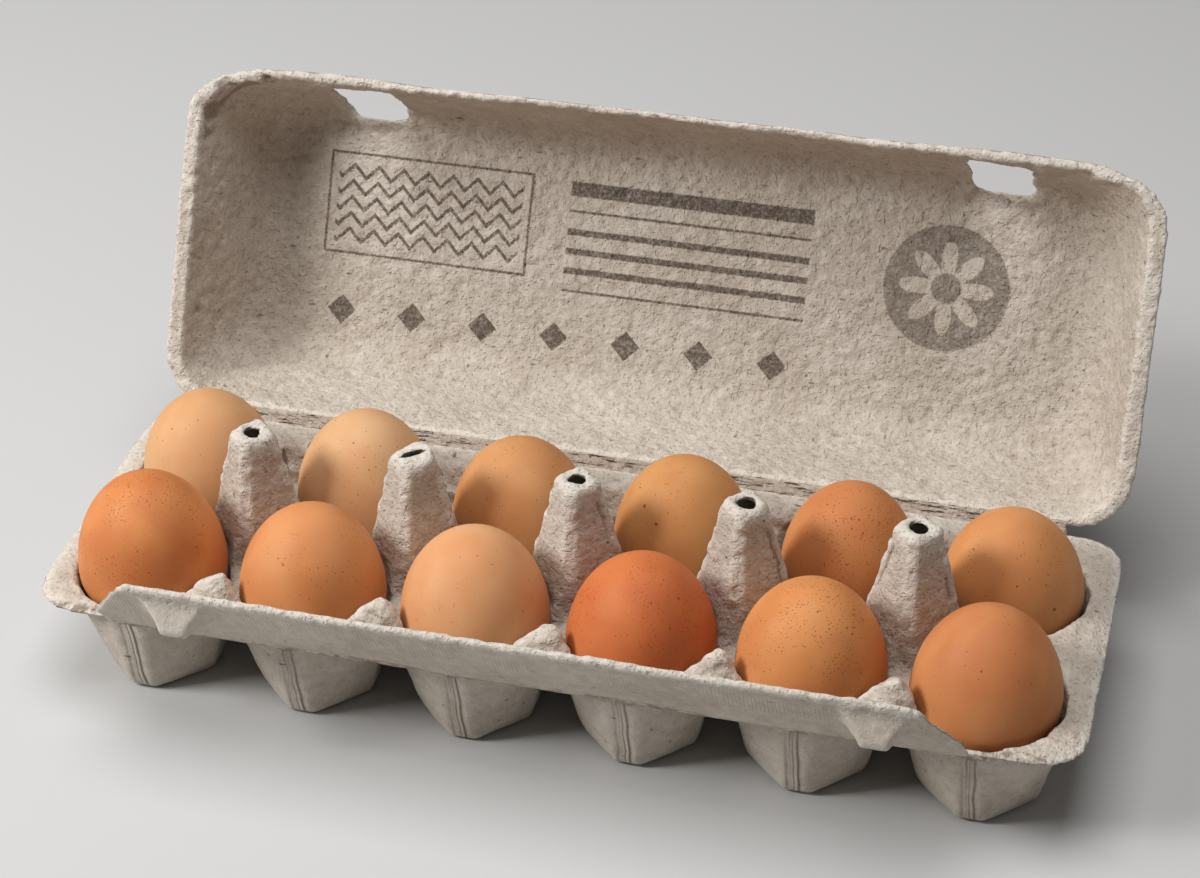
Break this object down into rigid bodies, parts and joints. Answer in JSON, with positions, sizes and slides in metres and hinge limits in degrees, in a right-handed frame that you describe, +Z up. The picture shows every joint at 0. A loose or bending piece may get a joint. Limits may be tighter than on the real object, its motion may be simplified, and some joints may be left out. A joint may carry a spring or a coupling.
{
  "type": "open egg carton with eggs",
  "caption": "Hinged moulded-pulp egg carton, lid open, with brown eggs standing blunt end up in its cup-shaped cells, and a hinged front flap with hooks that lock into the lid.",
  "frame": {"origin": "under the middle of the open carton's bounding box, at the bottom of the cells' feet", "axes": "+X along the carton's length, +Y towards the lid's hinge and the open lid, +Z up"},
  "size_m": [0.2968, 0.196, 0.1238],
  "materials": {
    "pulp": "rough",
    "egg_shell_dark": "satin",
    "egg_shell_medium": "satin",
    "egg_shell_light": "satin"
  },
  "bodies": {
    "tray": {"tray": "pulp", "egg_01": "egg_shell_dark", "egg_02": "egg_shell_medium", "egg_03": "egg_shell_light", "egg_04": "egg_shell_dark", "egg_05": "egg_shell_medium", "egg_06": "egg_shell_medium", "egg_07": "egg_shell_light", "egg_08": "egg_shell_light", "egg_09": "egg_shell_medium", "egg_10": "egg_shell_light", "egg_11": "egg_shell_medium", "egg_12": "egg_shell_light"},
    "lid": {"lid": "pulp"},
    "flap": {"front_flap": "pulp"}
  },
  "joints": [
    {"name": "lid_hinge", "type": "hinge", "parent": "tray", "child": "lid", "pos_m": [0, 0.02293, 0.03232], "axis": [-1, 0, 0], "range_deg": [-118, 40]},
    {"name": "flap_hinge", "type": "hinge", "parent": "tray", "child": "flap", "pos_m": [0, -0.07905, 0.0306], "axis": [1, 0, 0], "range_deg": [-49, 84]}
  ]
}
